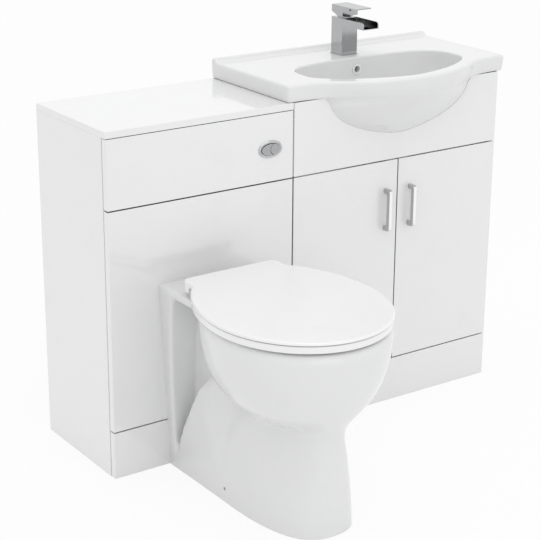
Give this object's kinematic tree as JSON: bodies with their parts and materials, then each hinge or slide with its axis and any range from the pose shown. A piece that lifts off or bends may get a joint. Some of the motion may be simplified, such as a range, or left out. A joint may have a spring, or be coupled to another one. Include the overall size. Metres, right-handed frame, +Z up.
{
  "type": "toilet and basin combination unit",
  "caption": "Fitted bathroom run: a concealed cistern unit with a back-to-wall pan and hinged seat beside a double door vanity with a bow fronted ceramic basin and lever mixer tap.",
  "frame": {"origin": "on the floor at the wall, at the right side of the toilet unit where the basin unit joins it", "axes": "+X to the right along the wall, +Y into the wall, +Z up; the fronts face -Y"},
  "size_m": [1.156, 0.901, 0.997],
  "materials": {
    "white_board": "smooth white lacquered board",
    "carcass": "plain white melamine board",
    "china": "white glazed vitreous china",
    "seat_white": "white moulded seat plastic",
    "chrome": "polished chrome plate",
    "handle": "satin nickel bar",
    "steel": "zinc plated steel",
    "brass": "turned brass",
    "cistern": "grey white moulded plastic",
    "pipe": "white waste pipe plastic",
    "valve": "pale moulded plastic",
    "rubber": "black rubber"
  },
  "bodies": {
    "units": {"wc_side_left": "white_board", "wc_side_right": "white_board", "wc_top_board": "white_board", "wc_upper_fascia": "white_board", "wc_lower_fascia": "white_board", "wc_plinth": "white_board", "wc_rails": "carcass", "unit_connectors": "steel", "cistern_tank": "cistern", "cistern_lid": "cistern", "cistern_screws": "steel", "fill_valve": "valve", "flush_valve": "valve", "flush_pipe": "pipe", "flush_pipe_nuts": "pipe", "flush_cone": "rubber", "air_hoses": "rubber", "button_housing": "chrome", "pan": "china", "pan_connector": "pipe", "pan_brackets": "steel", "pan_screws": "steel", "seat_posts": "chrome", "seat_bolts": "steel", "cab_side_left": "white_board", "cab_side_right": "white_board", "cab_floor": "carcass", "cab_rails": "carcass", "cab_upper_fascia": "white_board", "cab_plinth": "white_board", "basin": "china", "overflow_ring": "seat_white", "basin_waste": "chrome", "waste_trap": "pipe", "waste_nuts": "pipe", "waste_pipe": "pipe", "tap_body": "chrome", "tap_cartridge": "chrome", "tap_fixing": "brass", "hinge_arms": "steel"},
    "float": {"float_cup": "valve"},
    "valve": {"flush_valve_stem": "valve"},
    "full_button": {"full_flush_button": "chrome"},
    "half_button": {"half_flush_button": "chrome"},
    "seat": {"seat_ring": "seat_white", "seat_lugs": "seat_white", "seat_buffers": "seat_white"},
    "lid": {"seat_lid": "seat_white", "lid_lugs": "seat_white", "lid_buffers": "seat_white"},
    "left_leaf": {"left_door": "white_board", "left_handle": "handle", "left_hinge_cups": "steel"},
    "right_leaf": {"right_door": "white_board", "right_handle": "handle", "right_hinge_cups": "steel"},
    "plug": {"waste_plug": "chrome"},
    "turret": {"tap_swivel": "brass"},
    "lever": {"tap_lever": "chrome"}
  },
  "joints": [
    {"name": "float_travel", "type": "slide", "parent": "units", "child": "float", "axis": [0, 0, 1], "range_m": [-0.06, 0]},
    {"name": "full_flush_press", "type": "slide", "parent": "units", "child": "full_button", "axis": [0, 1, 0], "range_m": [0, 0.005], "stiffness_N_per_m": 400},
    {"name": "half_flush_press", "type": "slide", "parent": "units", "child": "half_button", "axis": [0, 1, 0], "range_m": [0, 0.005], "stiffness_N_per_m": 400},
    {"name": "valve_lift", "type": "slide", "parent": "units", "child": "valve", "axis": [0, 0, 1], "range_m": [0, 0.01]},
    {"name": "seat_hinge", "type": "hinge", "parent": "units", "child": "seat", "pos_m": [-0.236, -0.424, 0.475], "axis": [-1, 0, 0], "range_deg": [0, 94]},
    {"name": "lid_hinge", "type": "hinge", "parent": "seat", "child": "lid", "pos_m": [-0.236, -0.424, 0.475], "axis": [1, 0, 0], "range_deg": [-98, 0]},
    {"name": "left_door_hinge", "type": "hinge", "parent": "units", "child": "left_leaf", "pos_m": [0.0021, -0.328, 0.383], "axis": [0, 0, 1], "range_deg": [-90, 0]},
    {"name": "right_door_hinge", "type": "hinge", "parent": "units", "child": "right_leaf", "pos_m": [0.6365, -0.328, 0.383], "axis": [0, 0, 1], "range_deg": [0, 105]},
    {"name": "plug_lift", "type": "slide", "parent": "units", "child": "plug", "axis": [0, 0, 1], "range_m": [0, 0.008]},
    {"name": "lever_swivel", "type": "hinge", "parent": "units", "child": "turret", "pos_m": [0.32, -0.0955, 0.966], "axis": [0, 0, 1], "range_deg": [-45, 45]},
    {"name": "lever_lift", "type": "hinge", "parent": "turret", "child": "lever", "pos_m": [0.32, -0.0955, 0.9785], "axis": [-1, 0, 0], "range_deg": [0, 19]}
  ],
  "couplings": [
    {"joint": "valve_lift", "follows": "full_flush_press", "ratio": 2}
  ]
}
